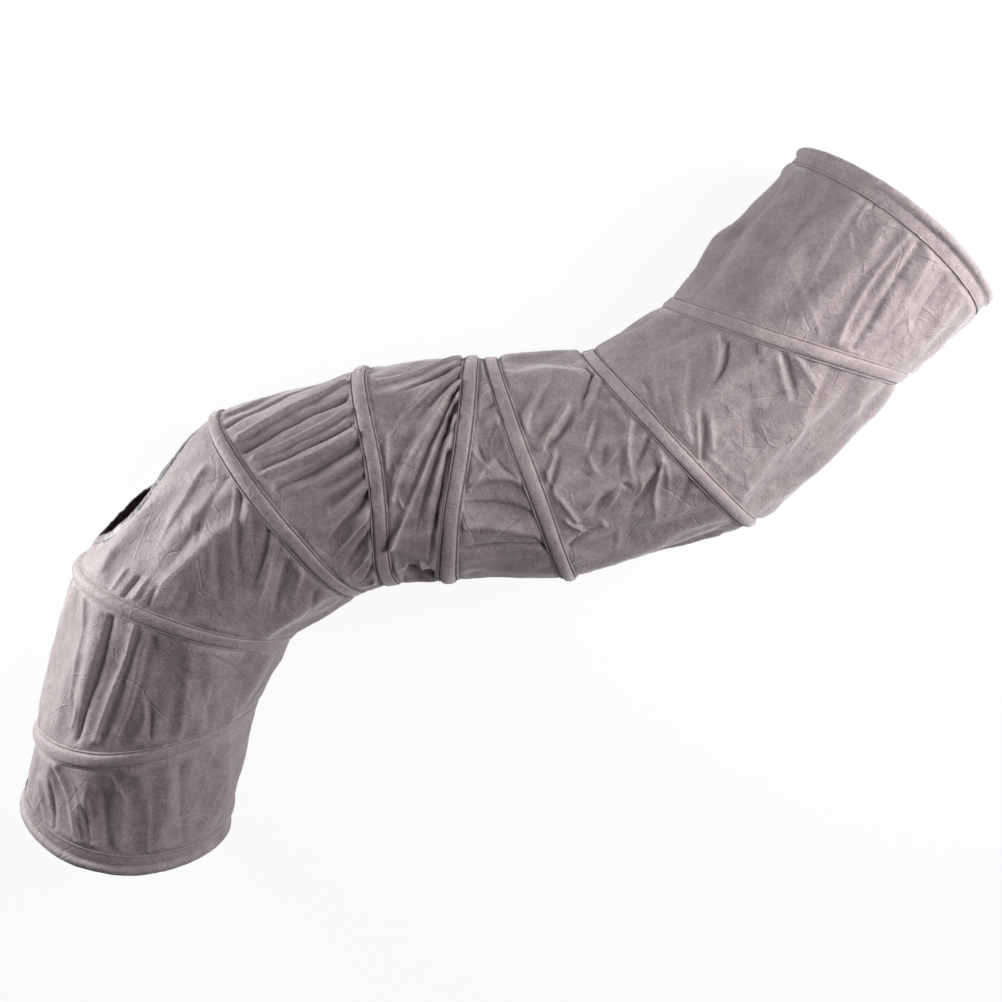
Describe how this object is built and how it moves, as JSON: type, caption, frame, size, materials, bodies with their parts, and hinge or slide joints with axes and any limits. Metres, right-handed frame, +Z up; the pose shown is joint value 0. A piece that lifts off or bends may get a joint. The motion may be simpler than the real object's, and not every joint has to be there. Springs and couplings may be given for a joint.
{
  "type": "cat tunnel",
  "caption": "Flexible suede tunnel on a bound spring-wire coil, with a hemmed hoop at each end and a round hole in one side, lying in an S.",
  "frame": {"origin": "on the floor, under the middle of the tunnel's bounding box", "axes": "+Z up, +X towards the right-hand end, +Y away from a viewer at the low end's side; the tunnel lies in an S from the low left end to the high right end"},
  "size_m": [1.0556, 0.7578, 0.2475],
  "materials": {
    "suede_cloth": "brushed suede, mauve grey",
    "suede_binding": "brushed suede tape sewn over the wire",
    "suede_hem": "brushed suede, folded and stitched",
    "satin_edging": "grey satin edging",
    "spring_steel": "drawn spring wire",
    "crimp_steel": "plated crimp"
  },
  "bodies": {
    "hoop_low": {"hoop_wire_low": "spring_steel", "ferrule_low": "crimp_steel", "hem_low": "suede_hem", "panel_01": "suede_cloth"},
    "turn_01": {"wire_01": "spring_steel", "binding_01": "suede_binding", "panel_02": "suede_cloth"},
    "turn_02": {"wire_02": "spring_steel", "binding_02": "suede_binding", "panel_03": "suede_cloth"},
    "turn_03": {"wire_03": "spring_steel", "binding_03": "suede_binding", "panel_04": "suede_cloth"},
    "turn_04": {"wire_04": "spring_steel", "binding_04": "suede_binding", "panel_05": "suede_cloth", "hole_rim": "satin_edging"},
    "turn_05": {"wire_05": "spring_steel", "binding_05": "suede_binding", "panel_06": "suede_cloth"},
    "turn_06": {"wire_06": "spring_steel", "binding_06": "suede_binding", "panel_07": "suede_cloth"},
    "turn_07": {"wire_07": "spring_steel", "binding_07": "suede_binding", "panel_08": "suede_cloth"},
    "turn_08": {"wire_08": "spring_steel", "binding_08": "suede_binding", "panel_09": "suede_cloth"},
    "turn_09": {"wire_09": "spring_steel", "binding_09": "suede_binding"},
    "turn_10": {"wire_10": "spring_steel", "binding_10": "suede_binding", "panel_10": "suede_cloth"},
    "turn_11": {"wire_11": "spring_steel", "binding_11": "suede_binding", "panel_11": "suede_cloth"},
    "turn_12": {"wire_12": "spring_steel", "binding_12": "suede_binding", "panel_12": "suede_cloth"},
    "turn_13": {"wire_13": "spring_steel", "binding_13": "suede_binding", "panel_13": "suede_cloth"},
    "turn_14": {"wire_14": "spring_steel", "binding_14": "suede_binding", "panel_14": "suede_cloth"},
    "turn_15": {"wire_15": "spring_steel", "binding_15": "suede_binding", "panel_15": "suede_cloth"},
    "turn_16": {"wire_16": "spring_steel", "binding_16": "suede_binding", "panel_16": "suede_cloth"},
    "turn_17": {"wire_17": "spring_steel", "binding_17": "suede_binding", "panel_17": "suede_cloth"},
    "hoop_high": {"hoop_wire_high": "spring_steel", "ferrule_high": "crimp_steel", "hem_high": "suede_hem", "panel_18": "suede_cloth"}
  },
  "joints": [
    {"name": "swing_01", "type": "hinge", "parent": "turn_01", "child": "hoop_low", "pos_m": [-0.2822, -0.35374, 0.12373], "axis": [0, 0, 1], "range_deg": [-12, 36], "stiffness_Nm_per_rad": 0.8, "deforming": ["panel_01"]},
    {"name": "swing_02", "type": "hinge", "parent": "turn_02", "child": "turn_01", "pos_m": [-0.49902, -0.24326, 0.12373], "axis": [0, 0, -1], "range_deg": [-25.5, 26], "stiffness_Nm_per_rad": 0.8, "deforming": ["panel_02"]},
    {"name": "swing_03", "type": "hinge", "parent": "turn_03", "child": "turn_02", "pos_m": [-0.25601, -0.23053, 0.12373], "axis": [0, 0, 1], "range_deg": [-41.5, 10], "stiffness_Nm_per_rad": 0.8, "deforming": ["panel_03"]},
    {"name": "swing_04", "type": "hinge", "parent": "turn_04", "child": "turn_03", "pos_m": [-0.43398, -0.06456, 0.12373], "axis": [0, 0, -1], "range_deg": [-21.5, 30], "stiffness_Nm_per_rad": 0.8, "deforming": ["panel_04"]},
    {"name": "swing_05", "type": "hinge", "parent": "turn_05", "child": "turn_04", "pos_m": [-0.20127, -0.13571, 0.12373], "axis": [0, 0, 1], "range_deg": [-49.5, 2], "stiffness_Nm_per_rad": 0.8, "deforming": ["panel_05", "hole_rim"]},
    {"name": "swing_06", "type": "hinge", "parent": "turn_06", "child": "turn_05", "pos_m": [-0.28049, 0.09438, 0.12373], "axis": [0, 0, -1], "range_deg": [-18.5, 33], "stiffness_Nm_per_rad": 0.8, "deforming": ["panel_06"]},
    {"name": "swing_07", "type": "hinge", "parent": "turn_07", "child": "turn_06", "pos_m": [-0.11766, -0.08647, 0.12373], "axis": [0, 0, 1], "range_deg": [-35.5, 16], "stiffness_Nm_per_rad": 0.8, "deforming": ["panel_07"]},
    {"name": "swing_08", "type": "hinge", "parent": "turn_08", "child": "turn_07", "pos_m": [-0.12615, 0.15674, 0.12373], "axis": [0, 0, -1], "range_deg": [-4.5, 47], "stiffness_Nm_per_rad": 0.8, "deforming": ["panel_08"]},
    {"name": "swing_09", "type": "hinge", "parent": "turn_09", "child": "turn_08", "pos_m": [-0.07972, -0.08214, 0.12373], "axis": [0, 0, 1], "range_deg": [-23.5, 28], "stiffness_Nm_per_rad": 0.8, "deforming": ["panel_09"]},
    {"name": "swing_10", "type": "hinge", "parent": "turn_09", "child": "turn_10", "pos_m": [-0.00857, 0.15057, 0.12373], "axis": [0, 0, 1], "range_deg": [-7.5, 44], "stiffness_Nm_per_rad": 0.8, "deforming": ["panel_10"]},
    {"name": "swing_11", "type": "hinge", "parent": "turn_10", "child": "turn_11", "pos_m": [-0.02978, -0.09185, 0.12373], "axis": [0, 0, -1], "range_deg": [-0.5, 51], "stiffness_Nm_per_rad": 0.8, "deforming": ["panel_11"]},
    {"name": "swing_12", "type": "hinge", "parent": "turn_11", "child": "turn_12", "pos_m": [0.01247, 0.1478, 0.12373], "axis": [0, 0, 1], "range_deg": [-26.5, 25], "stiffness_Nm_per_rad": 0.8, "deforming": ["panel_12"]},
    {"name": "swing_13", "type": "hinge", "parent": "turn_12", "child": "turn_13", "pos_m": [0.09968, -0.07938, 0.12373], "axis": [0, 0, -1], "range_deg": [-21.5, 30], "stiffness_Nm_per_rad": 0.8, "deforming": ["panel_13"]},
    {"name": "swing_14", "type": "hinge", "parent": "turn_13", "child": "turn_14", "pos_m": [0.12089, 0.16304, 0.12373], "axis": [0, 0, 1], "range_deg": [-44.5, 7], "stiffness_Nm_per_rad": 0.8, "deforming": ["panel_14"]},
    {"name": "swing_15", "type": "hinge", "parent": "turn_14", "child": "turn_15", "pos_m": [0.28994, -0.01201, 0.12373], "axis": [0, 0, -1], "range_deg": [-19.5, 32], "stiffness_Nm_per_rad": 0.8, "deforming": ["panel_15"]},
    {"name": "swing_16", "type": "hinge", "parent": "turn_15", "child": "turn_16", "pos_m": [0.20671, 0.21666, 0.12373], "axis": [0, 0, 1], "range_deg": [-48.5, 3], "stiffness_Nm_per_rad": 0.8, "deforming": ["panel_16"]},
    {"name": "swing_17", "type": "hinge", "parent": "turn_16", "child": "turn_17", "pos_m": [0.43942, 0.14551, 0.12373], "axis": [0, 0, -1], "range_deg": [-39.5, 12], "stiffness_Nm_per_rad": 0.8, "deforming": ["panel_17"]},
    {"name": "swing_18", "type": "hinge", "parent": "turn_17", "child": "hoop_high", "pos_m": [0.32144, 0.35835, 0.12373], "axis": [0, 0, 1], "range_deg": [-20, 28], "stiffness_Nm_per_rad": 0.8, "deforming": ["panel_18"]}
  ]
}
